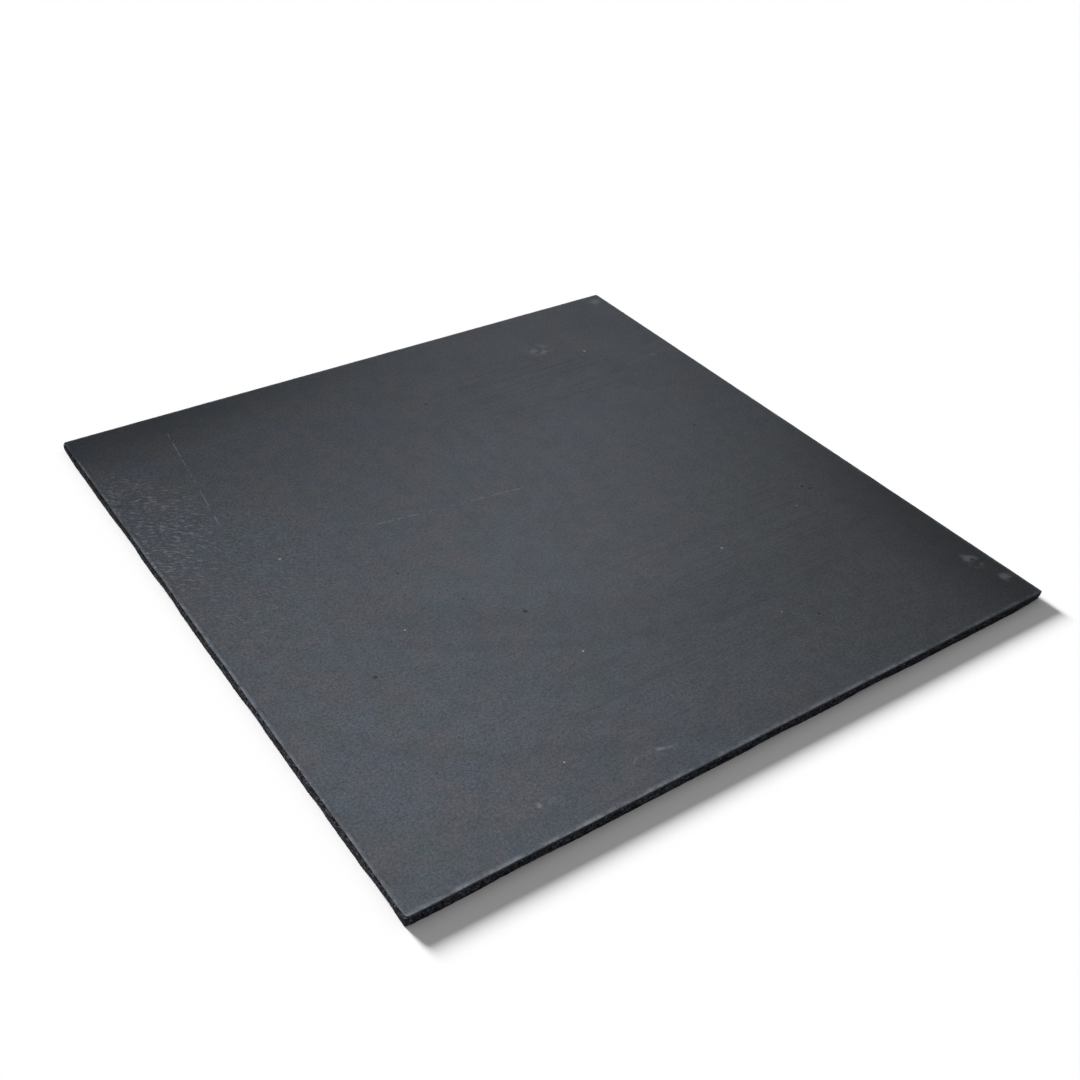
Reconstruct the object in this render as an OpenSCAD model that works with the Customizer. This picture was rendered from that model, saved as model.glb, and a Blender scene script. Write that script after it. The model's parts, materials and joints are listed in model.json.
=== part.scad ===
// Seedling heat mat: a smooth rubber top sheet bonded to a crumb-rubber base pad, with a stitched
// heating cable, its joints and a thermal cut-out sealed between the two.
// The origin is at the centre of the underside, +Z is up and +Y points at the edge with the cord gland.

/* [Mat] */
// Width of the mat, along X
mat_w = 508; // [500:1:560]
// Length of the mat, along Y
mat_l = 520; // [500:1:600]
// Thickness of the smooth rubber top sheet
sheet_t = 2; // [1.6:0.1:3]
// Thickness of the crumb-rubber base pad
pad_t = 6; // [6:0.1:8]
// Radius of the four vertical corners
corner_r = 3; // [1:0.5:10]
// Width of the sealed border on the front and the two sides
border_w = 18; // [14:1:24]
// Width of the sealed strip behind the heated field, which holds the joints
rear_strip_w = 56; // [54:1:70]

/* [Heater] */
// Number of straight runs of the heating cable, an even number
run_count = 18; // [12:2:18]
// Distance between two neighbouring runs
run_pitch = 26; // [20:1:26]
// Diameter of the heating cable over its silicone sheath
cable_d = 2; // [2:0.1:2.4]
// Diameter of the resistance conductor inside the cable
conductor_d = 1; // [0.6:0.1:1]
// Rows of stitches that hold the cable to the scrim
stitch_rows = 4; // [2:1:6]

/* [Junction] */
// Bore of the cord gland, for a light round cord
gland_bore_d = 4.4; // [4:0.1:4.4]
// Length of the cord gland
gland_l = 14; // [10:1:14]
// Length of the crimped splices
splice_l = 10; // [8:1:10]

/* [Thermal cut-out] */
// Length of the case of the thermal cut-out
case_l = 20; // [19:0.5:22]
// Length of the bimetal blade from its root to its free end
blade_l = 11; // [10:0.5:11]

/* [Hidden] */
$fn = 48;

// Heights of the layers
film_t = 0.2;
scrim_t = 0.5;
film_z = pad_t;
sheet_z = film_z + film_t;
scrim_z = pad_t - scrim_t;

// Play between fitted parts, how far a cut runs past the surface it opens, and the least length worth drawing
fit_gap = 0.05;
cut_over = 1;
least_l = 0.001;

// Plan of the heated field
rear_y = mat_l / 2;
field_half_w = mat_w / 2 - border_w;
field_front_y = -mat_l / 2 + border_w;
field_rear_y = rear_y - rear_strip_w;
turn_inset = 8;
front_turn_y = field_front_y + turn_inset;
rear_turn_y = field_rear_y - turn_inset;
turn_r = run_pitch / 2;

// Heating cable: its centre line hangs just under the scrim
wire_z = scrim_z - fit_gap - cable_d / 2;
first_run_x = -(run_count - 1) * run_pitch / 2;
last_run_x = -first_run_x;
groove_play = 1.4;
groove_w = cable_d + groove_play;
groove_clearance = 0.55;
groove_floor_z = wire_z - cable_d / 2 - groove_clearance;

// Stitches: a thread that loops under the cable and up into the scrim
thread_d = 0.3;
stitch_r = cable_d / 2 + fit_gap + thread_d / 2;
stitch_margin = 40;

// Leads and splices, which all lie along one line behind the heated field
joint_setback = 34;
joint_y = rear_y - joint_setback;
lead_d = 1.6;
core_d = 0.8;
core_hole_d = core_d + fit_gap;
conductor_hole_d = conductor_d + 2 * fit_gap;
splice_hole_d = max(conductor_d, core_d) + 2 * fit_gap;
lead_groove_play = 0.8;
lead_groove_w = lead_d + lead_groove_play;
lead_bend_r = 4;
cable_bend_r = 8;
splice_d = 2;
splice_grip = 4;
sleeve_overlap = 1.5;
sleeve_l = splice_l + 2 * sleeve_overlap;
sleeve_inner_d = splice_d + fit_gap;
sleeve_d = 2.6;
sleeve_groove_w = sleeve_d + lead_groove_play;
groove_lead_in = 2;
core_spread = 3;
insulation_gap = 1;

// Junction tray and its cover, sunk into the pad beside the last run of the cable
tray_l = 106;
tray_run_gap = 31;
tray_front_setback = 46;
tray_x1 = last_run_x - tray_run_gap;
tray_x0 = tray_x1 - tray_l;
tray_y0 = rear_y - tray_front_setback;
tray_y1 = rear_y - gland_l;
tray_z = 0.6;
tray_wall = 0.8;
tray_floor_z = tray_z + tray_wall;
cover_t = 0.5;
cover_z = pad_t - cover_t;
lip_t = 0.6;
lip_h = 0.5;
lip_inset = 6;
slot_play = 0.2;
supply_slot_side = 1.5;

// Rest under the supply splices, and the cradle with its side posts under the thermal cut-out
rest_side = 3;
rest_setback = 3;
cradle_inset = 2;
cradle_t = 1;
cradle_side = 1;
post_t = 0.9;
post_gap = 0.1;

// Cord gland in the rear edge
gland_tray_offset = 29;
gland_depth = 2.3;
gland_wall = 0.7;
gland_x = tray_x0 + gland_tray_offset;
gland_z = pad_t - gland_depth;
gland_d = gland_bore_d + 2 * gland_wall;
gland_seat_d = gland_d + 2 * fit_gap;

// Splices of the heating cable and of the supply cord
splice_tray_gap = 6;
splice_field_gap = 2;
splice_bend_gap = 1;
splice_a_x = tray_x1 + splice_tray_gap;
splice_b_y = field_rear_y + splice_field_gap;
supply_splice_y = joint_y + lead_bend_r + splice_bend_gap;

// Thermal cut-out, in its own frame: X along the case, Z from the case's underside
case_tray_offset = 52;
case_x = tray_x0 + case_tray_offset;
case_w = 7;
case_h = 3.4;
case_wall = 0.4;
plug_l = 3;
plug_gap = 0.02;
strip_t = 0.4;
strip_w = 3;
low_strip_x = 1.3;
strip_past_contact = 2;
fixed_strip_z = 0.5;
contact_t = 0.4;
contact_d = 1.6;
contact_gap = 0.02;
blade_t = 0.25;
blade_root_setback = 4.4;
blade_root_x = case_l - blade_root_setback;
blade_z = fixed_strip_z + strip_t + 2 * contact_t + contact_gap;
contact_setback = 1.5;
contact_x = blade_root_x - blade_l + contact_setback;
tail_l = 5;
tail_top = blade_z + blade_t / 2 + strip_t / 2;
case_z = wire_z - core_d / 2 - tail_top;

// Routes of the cable and the leads, as the corners that their bends round off
function run_x(i) = first_run_x + i * run_pitch;
cable_turns = [
    for (i = [0 : run_count - 1]) for (k = [0, 1])
        [run_x(i), (i + k) % 2 == 0 ? rear_turn_y : front_turn_y]
];
cable_middle = [for (i = [1 : len(cable_turns) - 2]) cable_turns[i]];
heating_route = concat(
    [[first_run_x, splice_b_y]], cable_middle, [[last_run_x, joint_y], [splice_a_x + splice_l, joint_y]]
);
return_route = [
    [first_run_x, splice_b_y + splice_l], [first_run_x, joint_y], [gland_x - core_spread, joint_y],
    [gland_x - core_spread, supply_splice_y]
];
live_route = [
    [gland_x + core_spread, supply_splice_y], [gland_x + core_spread, joint_y],
    [case_x - tail_l - insulation_gap, joint_y]
];
link_route = [[case_x + case_l + tail_l + insulation_gap, joint_y], [splice_a_x, joint_y]];

function unit(v) = v / norm(v);
function heading(p, q) = atan2(q[1] - p[1], q[0] - p[0]);
// Signed turn at corner q, from -180 to 180, positive to the left
function turn(p, q, s) = ((heading(q, s) - heading(p, q) + 540) % 360) - 180;
function trim(p, q, s, r) = r * tan(abs(turn(p, q, s)) / 2);
// The same route with its first and last points moved out by a and b
function stretched(pts, a, b) = [
    for (i = [0 : len(pts) - 1])
        i == 0 ? pts[0] + a * unit(pts[0] - pts[1])
            : i == len(pts) - 1 ? pts[i] + b * unit(pts[i] - pts[i - 1]) : pts[i]
];

// Sweeps a flat child along a level route whose corners are rounded to radius r
module sweep_route(pts, r) {
    last = len(pts) - 2;
    for (i = [0 : last]) {
        cut_a = i == 0 ? 0 : trim(pts[i - 1], pts[i], pts[i + 1], r);
        cut_b = i == last ? 0 : trim(pts[i], pts[i + 1], pts[i + 2], r);
        run_l = norm(pts[i + 1] - pts[i]) - cut_a - cut_b;
        along = heading(pts[i], pts[i + 1]);
        if (run_l > least_l)
            translate(pts[i] + cut_a * unit(pts[i + 1] - pts[i]))
                rotate([90, 0, 90 + along])
                    linear_extrude(run_l) children();
        if (i < last) {
            bend = turn(pts[i], pts[i + 1], pts[i + 2]);
            start = pts[i + 1] - cut_b * unit(pts[i + 1] - pts[i]);
            side = bend > 0 ? 1 : -1;
            centre = start + side * r * [-sin(along), cos(along)];
            translate(centre)
                rotate(along - side * 90 + min(bend, 0))
                    rotate_extrude(angle = abs(bend)) translate([r, 0]) children();
        }
    }
}

module at_wire_height() {
    translate([0, 0, wire_z]) children();
}

// A wire or a tube of outer diameter d along a route
module wire(pts, r, d, hole_d = 0) {
    at_wire_height() sweep_route(pts, r) difference() {
        circle(d = d);
        if (hole_d > 0) circle(d = hole_d);
    }
}

// An open-topped channel along a route, cut into the pad from its top
module channel(pts, r, w) {
    sweep_route(pts, r)
        translate([-w / 2, groove_floor_z]) square([w, pad_t + cut_over - groove_floor_z]);
}

module rounded_plate(w, l, t, r) {
    linear_extrude(t) {
        square([w - 2 * r, l], center = true);
        square([w, l - 2 * r], center = true);
        for (x = [-1, 1]) for (y = [-1, 1])
            translate([x * (w / 2 - r), y * (l / 2 - r)]) circle(r = r);
    }
}

// A block from one corner to the opposite one
module block(a, b) {
    translate(a) cube(b - a);
}

module field_block(z0, z1, gap) {
    block([-field_half_w - gap, field_front_y - gap, z0], [field_half_w + gap, field_rear_y + gap, z1]);
}

module gland_seat() {
    translate([gland_x, rear_y - gland_l, gland_z])
        rotate([-90, 0, 0]) cylinder(d = gland_seat_d, h = gland_l + cut_over);
}

module top_sheet() {
    color([0.09, 0.095, 0.105]) difference() {
        translate([0, 0, sheet_z]) rounded_plate(mat_w, mat_l, sheet_t, corner_r);
        gland_seat();
    }
}

module seal_film() {
    color([0.16, 0.16, 0.17]) difference() {
        translate([0, 0, film_z]) rounded_plate(mat_w, mat_l, film_t, corner_r);
        field_block(film_z - cut_over, film_z + cut_over, fit_gap);
        gland_seat();
    }
}

module heat_spreader() {
    color([0.82, 0.83, 0.85]) field_block(film_z, film_z + film_t, 0);
}

module heater_scrim() {
    color([0.9, 0.89, 0.84]) field_block(scrim_z, pad_t, 0);
}

module stitch() {
    rotate([90, 0, 0]) rotate(180)
        rotate_extrude(angle = 180) translate([stitch_r, 0]) circle(d = thread_d);
    for (x = [-1, 1])
        translate([x * stitch_r, 0, 0]) cylinder(d = thread_d, h = scrim_z - wire_z);
}

module cable_stitches() {
    first_y = front_turn_y + stitch_margin;
    row_gap = (rear_turn_y - stitch_margin - first_y) / (stitch_rows - 1);
    color([0.93, 0.93, 0.9]) at_wire_height()
        for (i = [0 : run_count - 1]) for (k = [0 : stitch_rows - 1])
            translate([run_x(i), first_y + k * row_gap]) stitch();
}

module heating_sheath() {
    color([0.62, 0.16, 0.13]) at_wire_height() {
        sweep_route(cable_lead_in(), turn_r) sheath_section();
        sweep_route(cable_lead_out(), cable_bend_r) sheath_section();
    }
}

module heating_conductor() {
    color([0.3, 0.3, 0.31]) at_wire_height() {
        sweep_route(stretched(cable_lead_in(), splice_grip, 0), turn_r) circle(d = conductor_d);
        sweep_route(stretched(cable_lead_out(), 0, splice_grip), cable_bend_r) circle(d = conductor_d);
    }
}

module sheath_section() {
    difference() {
        circle(d = cable_d);
        circle(d = conductor_hole_d);
    }
}

// The looped part of the cable, and its last stretch with the tighter bend towards the tray
function cable_lead_in() = concat(
    [for (i = [0 : len(heating_route) - 3]) heating_route[i]], [[last_run_x, 0]]
);
function cable_lead_out() = concat(
    [[last_run_x, 0]], [for (i = [len(heating_route) - 2 : len(heating_route) - 1]) heating_route[i]]
);

module base_pad() {
    color([0.055, 0.055, 0.06]) difference() {
        rounded_plate(mat_w, mat_l, pad_t, corner_r);
        field_block(scrim_z, pad_t + cut_over, fit_gap);
        channel(cable_lead_in(), turn_r, groove_w);
        channel(cable_lead_out(), cable_bend_r, groove_w);
        channel([[first_run_x, field_rear_y], [first_run_x, splice_b_y + sleeve_l]],
            lead_bend_r, sleeve_groove_w);
        channel([[splice_a_x - groove_lead_in, joint_y], [splice_a_x + sleeve_l, joint_y]],
            lead_bend_r, sleeve_groove_w);
        channel([return_route[0], return_route[1], [tray_x0 + cut_over, joint_y]], lead_bend_r, lead_groove_w);
        channel([[tray_x1 - cut_over, joint_y], [splice_a_x, joint_y]], lead_bend_r, lead_groove_w);
        block([tray_x0 - fit_gap, tray_y0 - fit_gap, tray_z],
            [tray_x1 + fit_gap, tray_y1 + fit_gap, pad_t + cut_over]);
        gland_seat();
    }
}

module cord_gland() {
    color([0.07, 0.07, 0.075])
        translate([gland_x, rear_y - gland_l, gland_z]) rotate([-90, 0, 0]) difference() {
            cylinder(d = gland_d, h = gland_l);
            translate([0, 0, -cut_over]) cylinder(d = gland_bore_d, h = gland_l + 2 * cut_over);
        }
}

// A square-bottomed slot through a wall of the tray, open at the top
module wall_slot(x0, x1, y0, y1) {
    block([x0, y0, wire_z - splice_d / 2 - slot_play], [x1, y1, cover_z + cut_over]);
}

module junction_tray() {
    half_slot = lead_d / 2 + slot_play;
    supply_slot = core_spread + supply_slot_side;
    half_rest = core_spread + rest_side;
    post_middle = case_w / 2 + post_gap + post_t / 2;
    color([0.2, 0.2, 0.21]) {
        difference() {
            block([tray_x0, tray_y0, tray_z], [tray_x1, tray_y1, cover_z]);
            block([tray_x0 + tray_wall, tray_y0 + tray_wall, tray_floor_z],
                [tray_x1 - tray_wall, tray_y1 - tray_wall, cover_z + cut_over]);
            for (x = [tray_x0, tray_x1])
                wall_slot(x - cut_over, x + cut_over, joint_y - half_slot, joint_y + half_slot);
            wall_slot(gland_x - supply_slot, gland_x + supply_slot, tray_y1 - cut_over, tray_y1 + cut_over);
        }
        // Rest under the supply splices
        block([gland_x - half_rest, supply_splice_y + rest_setback, tray_z],
            [gland_x + half_rest, supply_splice_y + splice_l - rest_setback, wire_z - splice_d / 2]);
        // Cradle that holds the thermal cut-out
        for (x = [case_x + cradle_inset, case_x + case_l - cradle_inset - cradle_t]) {
            block([x, joint_y - case_w / 2 - cradle_side, tray_z],
                [x + cradle_t, joint_y + case_w / 2 + cradle_side, case_z]);
            for (side = [-1, 1])
                translate([x + cradle_t / 2, joint_y + side * post_middle, (tray_z + wire_z) / 2])
                    cube([cradle_t, post_t, wire_z - tray_z], center = true);
        }
    }
}

module junction_cover() {
    inset = tray_wall + fit_gap;
    color([0.2, 0.2, 0.21]) {
        block([tray_x0, tray_y0, cover_z], [tray_x1, tray_y1, pad_t]);
        // Locating lip inside the tray's front wall
        block([tray_x0 + lip_inset, tray_y0 + inset, cover_z - lip_h],
            [tray_x1 - lip_inset, tray_y0 + inset + lip_t, cover_z]);
    }
}

module splice_tube() {
    difference() {
        cylinder(d = splice_d, h = splice_l);
        translate([0, 0, -cut_over]) cylinder(d = splice_hole_d, h = splice_l + 2 * cut_over);
    }
}

module supply_splices() {
    color([0.78, 0.79, 0.8]) at_wire_height()
        for (side = [-1, 1])
            translate([gland_x + side * core_spread, supply_splice_y, 0])
                rotate([-90, 0, 0]) splice_tube();
}

module cable_splices() {
    color([0.78, 0.79, 0.8]) at_wire_height() {
        translate([splice_a_x, joint_y, 0]) rotate([0, 90, 0]) splice_tube();
        translate([first_run_x, splice_b_y, 0]) rotate([-90, 0, 0]) splice_tube();
    }
}

module sleeve() {
    translate([0, 0, -sleeve_overlap]) difference() {
        cylinder(d = sleeve_d, h = sleeve_l);
        translate([0, 0, -cut_over]) cylinder(d = sleeve_inner_d, h = sleeve_l + 2 * cut_over);
    }
}

module splice_sleeves() {
    color([0.1, 0.1, 0.11]) at_wire_height() {
        translate([splice_a_x, joint_y, 0]) rotate([0, 90, 0]) sleeve();
        translate([first_run_x, splice_b_y, 0]) rotate([-90, 0, 0]) sleeve();
    }
}

module return_lead() {
    color([0.1, 0.22, 0.5]) wire(return_route, lead_bend_r, lead_d, core_hole_d);
}

module return_lead_core() {
    color([0.75, 0.42, 0.25])
        wire(stretched(return_route, splice_grip, splice_grip), lead_bend_r, core_d);
}

module live_lead() {
    color([0.4, 0.2, 0.1]) wire(live_route, lead_bend_r, lead_d, core_hole_d);
}

module live_lead_core() {
    color([0.75, 0.42, 0.25])
        wire(stretched(live_route, splice_grip, tail_l), lead_bend_r, core_d);
}

module link_lead() {
    color([0.4, 0.2, 0.1]) wire(link_route, lead_bend_r, lead_d, core_hole_d);
}

module link_lead_core() {
    color([0.75, 0.42, 0.25])
        wire(stretched(link_route, tail_l, splice_grip), lead_bend_r, core_d);
}

// Everything in the cut-out is drawn in its own frame and placed here
module in_cutout() {
    translate([case_x, joint_y, case_z]) children();
}

module cutout_case() {
    color([0.7, 0.7, 0.72]) in_cutout() difference() {
        block([0, -case_w / 2, 0], [case_l, case_w / 2, case_h]);
        block([-cut_over, -case_w / 2 + case_wall, case_wall],
            [case_l + cut_over, case_w / 2 - case_wall, case_h - case_wall]);
    }
}

// One resin end plug, with a slot through it for a terminal strip
module plug(x0, slot_z0, slot_z1) {
    wall = case_wall + plug_gap;
    side = case_w / 2 - wall;
    slot_side = strip_w / 2 + plug_gap;
    difference() {
        block([x0, -side, wall], [x0 + plug_l, side, case_h - wall]);
        block([x0 - cut_over, -slot_side, slot_z0 - plug_gap],
            [x0 + plug_l + cut_over, slot_side, slot_z1 + plug_gap]);
    }
}

module cutout_plugs() {
    color([0.35, 0.18, 0.1]) in_cutout() {
        plug(0, fixed_strip_z, tail_top);
        plug(case_l - plug_l, tail_top - strip_t, tail_top);
    }
}

module cutout_fixed_terminal() {
    side = strip_w / 2;
    color([0.8, 0.65, 0.3]) in_cutout() {
        // Low strip inside the case, which carries the fixed contact
        block([low_strip_x, -side, fixed_strip_z],
            [contact_x + strip_past_contact, side, fixed_strip_z + strip_t]);
        block([low_strip_x, -side, fixed_strip_z], [low_strip_x + strip_t, side, tail_top]);
        block([-tail_l, -side, tail_top - strip_t], [low_strip_x + strip_t, side, tail_top]);
    }
}

module cutout_fixed_contact() {
    color([0.9, 0.9, 0.9]) in_cutout()
        translate([contact_x, 0, fixed_strip_z + strip_t]) cylinder(d = contact_d, h = contact_t);
}

module cutout_blade_terminal() {
    color([0.8, 0.65, 0.3]) in_cutout()
        block([blade_root_x + blade_t / 2 + fit_gap, -strip_w / 2, tail_top - strip_t],
            [case_l + tail_l, strip_w / 2, tail_top]);
}

module cutout_blade() {
    color([0.72, 0.66, 0.55]) in_cutout() {
        block([blade_root_x - blade_l, -strip_w / 2, blade_z], [blade_root_x, strip_w / 2, blade_z + blade_t]);
        translate([blade_root_x, strip_w / 2, blade_z + blade_t / 2])
            rotate([90, 0, 0]) cylinder(d = blade_t, h = strip_w);
    }
}

module cutout_blade_contact() {
    color([0.9, 0.9, 0.9]) in_cutout()
        translate([contact_x, 0, blade_z - contact_t]) cylinder(d = contact_d, h = contact_t);
}

top_sheet();
seal_film();
heat_spreader();
heater_scrim();
cable_stitches();
heating_sheath();
heating_conductor();
base_pad();
cord_gland();
junction_tray();
junction_cover();
supply_splices();
cable_splices();
splice_sleeves();
return_lead();
return_lead_core();
live_lead();
live_lead_core();
link_lead();
link_lead_core();
cutout_case();
cutout_plugs();
cutout_fixed_terminal();
cutout_fixed_contact();
cutout_blade_terminal();
cutout_blade();
cutout_blade_contact();
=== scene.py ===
"""A seedling heat mat on a pale studio floor: a smooth rubber sheet on a crumb-rubber pad, its heater inside.

Lengths are in metres and the frame is the CAD model's: +Z up, +Y towards the rear edge with the cord gland.
The camera stands off the front left corner. Material patterns are laid out in millimetres."""

import json
import math

import bmesh
import bpy
from mathutils import Matrix, Vector, noise


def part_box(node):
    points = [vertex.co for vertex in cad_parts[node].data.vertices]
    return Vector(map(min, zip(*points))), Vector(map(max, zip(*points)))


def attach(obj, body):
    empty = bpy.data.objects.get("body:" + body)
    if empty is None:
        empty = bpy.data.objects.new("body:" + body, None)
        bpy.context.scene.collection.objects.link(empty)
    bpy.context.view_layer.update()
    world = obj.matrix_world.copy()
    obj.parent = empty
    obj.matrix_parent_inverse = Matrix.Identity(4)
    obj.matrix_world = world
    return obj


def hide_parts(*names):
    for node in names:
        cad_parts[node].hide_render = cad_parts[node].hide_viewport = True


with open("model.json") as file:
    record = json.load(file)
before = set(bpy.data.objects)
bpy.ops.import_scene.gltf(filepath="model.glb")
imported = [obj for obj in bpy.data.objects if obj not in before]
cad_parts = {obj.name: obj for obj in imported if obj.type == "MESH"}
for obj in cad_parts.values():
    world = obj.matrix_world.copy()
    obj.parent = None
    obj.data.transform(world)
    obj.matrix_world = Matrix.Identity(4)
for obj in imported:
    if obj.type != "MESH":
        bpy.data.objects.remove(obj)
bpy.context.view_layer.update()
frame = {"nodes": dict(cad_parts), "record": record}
BODY = "mat"
MM = 0.001

# The mat, from the frame
SHEET_LOW, SHEET_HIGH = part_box("top_sheet")
PAD_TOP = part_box("base_pad")[1].z
HALF_W, HALF_L = SHEET_HIGH.x, SHEET_HIGH.y
# Corner radii anticlockwise from the front right
CORNER_RADII = [0.8 * MM, 2.0 * MM, 0.8 * MM, 1.8 * MM]
RIM_W = 12 * MM
# Inside the rim, the top sheet's grid takes one column of the rim in so many
RIM_COLUMNS_PER_CELL = 3
FIELD_LOW, FIELD_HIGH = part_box("heat_spreader")
SCRIM_LOW, SCRIM_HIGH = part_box("heater_scrim")
GLAND_LOW, GLAND_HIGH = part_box("cord_gland")
SEAT_GAP = 0.05 * MM


# ---------------------------------------------------------------- node helpers

def new_material(name):
    """A new material, its node tree and its shader."""
    material = bpy.data.materials.new(name)
    material.use_nodes = True
    return material, material.node_tree, material.node_tree.nodes["Principled BSDF"]


def node(tree, kind, values=None, **settings):
    """Adds a node. values maps an input's name or number to a socket or to a constant."""
    made = tree.nodes.new("ShaderNode" + kind)
    for key, value in settings.items():
        setattr(made, key, value)
    for key, value in (values or {}).items():
        if isinstance(value, bpy.types.NodeSocket):
            tree.links.new(value, made.inputs[key])
        else:
            made.inputs[key].default_value = value
    return made


def maths(tree, operation, *values):
    made = node(tree, "Math", dict(enumerate(values)), operation=operation)
    return made.outputs[0]


def vectors(tree, operation, *values):
    made = node(tree, "VectorMath", dict(enumerate(values)), operation=operation)
    return made.outputs["Value" if operation in ("LENGTH", "DOT_PRODUCT") else "Vector"]


def fade(tree, value, start, end, low=0.0, high=1.0):
    """Goes smoothly from low to high as value goes from start to end."""
    numbers = {"Value": value, "From Min": start, "From Max": end, "To Min": low, "To Max": high}
    return node(tree, "MapRange", numbers, interpolation_type="SMOOTHSTEP").outputs["Result"]


def blend_colours(tree, factor, a, b):
    """Colour a where factor is 0, and colour b where it is 1."""
    made = node(tree, "Mix", {"Factor": factor}, data_type="RGBA")
    inputs = [socket for socket in made.inputs if socket.type == "RGBA"]
    for socket, value in zip(inputs, (a, b)):
        if isinstance(value, bpy.types.NodeSocket):
            tree.links.new(value, socket)
        else:
            socket.default_value = (*value, 1)
    return next(socket for socket in made.outputs if socket.type == "RGBA")


def place_mm(tree, stretch=(1, 1, 1)):
    """The place on the object in millimetres, with each axis stretched."""
    where = node(tree, "TexCoord").outputs["Object"]
    return vectors(tree, "MULTIPLY", where, tuple(s / MM for s in stretch))


def cloud(tree, where, size_mm, detail=3.0, roughness=0.5):
    """Soft noise from 0 to 1 with features of about size_mm."""
    inputs = {"Vector": where, "Scale": 1 / size_mm, "Detail": detail, "Roughness": roughness}
    return node(tree, "TexNoise", inputs).outputs["Fac"]


def bump(tree, height, distance, strength=1.0, below=None):
    inputs = {"Height": height, "Distance": distance, "Strength": strength}
    if below is not None:
        inputs["Normal"] = below
    return node(tree, "Bump", inputs).outputs["Normal"]


def distance_from(tree, where, x, y):
    """How far a place on the sheet is from (x, y), whatever its height."""
    offset = vectors(tree, "SUBTRACT", where, (x, y, 0))
    return vectors(tree, "LENGTH", vectors(tree, "MULTIPLY", offset, (1, 1, 0)))


def near_point(tree, where, x, y, radius):
    """1 at a place on the sheet and close round it, fading to 0 at radius."""
    return fade(tree, distance_from(tree, where, x, y), radius, radius * SPOT_CORE)


def near_ellipse(tree, where, x, y, half_x, half_y):
    """1 in the middle of an ellipse on the sheet, fading to 0 at its rim."""
    offset = vectors(tree, "MULTIPLY", vectors(tree, "SUBTRACT", where, (x, y, 0)), (1 / half_x, 1 / half_y, 0))
    return fade(tree, vectors(tree, "LENGTH", offset), 1.0, PATCH_CORE)


def near_line(tree, where, start, end, width):
    """1 on a straight line from start to end, fading to 0 at width from it."""
    a, run = Vector((*start, 0)), Vector((*end, 0)) - Vector((*start, 0))
    offset = vectors(tree, "MULTIPLY", vectors(tree, "SUBTRACT", where, tuple(a)), (1, 1, 0))
    along = maths(tree, "MULTIPLY", vectors(tree, "DOT_PRODUCT", offset, tuple(run)), 1 / run.length_squared)
    along = node(tree, "Clamp", {"Value": along}).outputs[0]
    foot = vectors(tree, "SCALE", tuple(run))
    tree.links.new(along, foot.node.inputs["Scale"])
    return fade(tree, vectors(tree, "LENGTH", vectors(tree, "SUBTRACT", offset, foot)), width, 0.0)


def near_arc(tree, where, x, y, radius, width):
    """1 on a circle round (x, y), fading to 0 at width from it."""
    off_circle = maths(tree, "SUBTRACT", distance_from(tree, where, x, y), radius)
    return fade(tree, maths(tree, "ABSOLUTE", off_circle), width, 0.0)


def total(tree, parts):
    """The sum of several sockets, kept from 0 to 1."""
    result = parts[0]
    for part in parts[1:]:
        result = maths(tree, "ADD", result, part)
    return node(tree, "Clamp", {"Value": result}).outputs[0]


# ---------------------------------------------------------------- materials

# How much of a spot's radius, and of a patch's, has the mask's full strength
SPOT_CORE = 0.45
PATCH_CORE = 0.3

# Marks on the top sheet, placed and sized in millimetres from its middle. Spots: x, y, radius
PITS = [(-64.6, -90.3, 2.1), (-178.9, -94, 1.8), (183.2, 31.6, 1.6), (197.8, -78.7, 1.9), (201.4, -83.6, 1.7),
        (12.7, 168.6, 1.9), (102.3, -195.4, 1.5), (-116.1, -11.5, 1.3), (-92.5, -57.9, 1.2)]
SPECKS = [(-176.7, 43.8, 1.2), (93.6, -105.5, 1.2), (-55.2, -142.3, 1.0), (-141.5, -65.4, 0.8),
          (178.5, 176.1, 1.7), (176.7, -94.7, 0.9), (-121.6, -214.7, 0.8), (81.6, -180.5, 0.8)]
# Patches: x, y, half width, half length
# The first patch darkens the sheet towards its back left edge; the second is a painted shade wedge along the
# right edge
PAINTED_SHADE_AND_DARK_PATCHES = [(-235, 285, 300, 95), (275, -215, 100, 260)]
SMEARS = [(-149, -234, 11, 3), (145, 197, 15, 13), (221, 141, 13, 3), (238, -210, 8, 12),
          (244, -236, 7, 9), (243, 248, 9, 7)]
STREAK_PATCHES = [(120, -110, 150, 85), (110, 150, 150, 70), (-20, -190, 170, 60)]
WIPED_PATCH = (-40, -110, 320, 210)
# Where the pale dashes lie: scuffs, with painted glints
SCUFF_AND_PAINTED_GLINT_PATCH = (-248, 130, 62, 100)
FAINT_SCUFF_AND_PAINTED_GLINT_PATCH = (-215, 60, 90, 150)
# Rings: x, y, radius, width, and for a crescent the patch that it is kept to, or for a wipe its strength
CRESCENTS = [(-78, -292, 57, 2.2, (-73, -238, 22, 9)), (-138, -276, 45, 1.6, (-150, -233, 13, 8))]
WIPES = [(102, 237, 402, 9, 0.45), (96, 252, 440, 40, 0.3), (104, 228, 372, 32, 0.5), (60, 140, 392, 14, 0.5)]
# Lines: start, end, width, strength
SCRATCHES = [((-181, 234), (-196, 100), 0.8, 1.0), ((-100, 44.6), (16.5, 29), 0.8, 1.0)]
# Dark lines painted as shade in creases, one just inside the left edge
CREASE_SHADE_LINES = [((-40, 59), (-40, -104), 1.6, 0.5), ((-250.2, 254), (-250.2, -236), 0.7, 1.0)]

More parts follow.
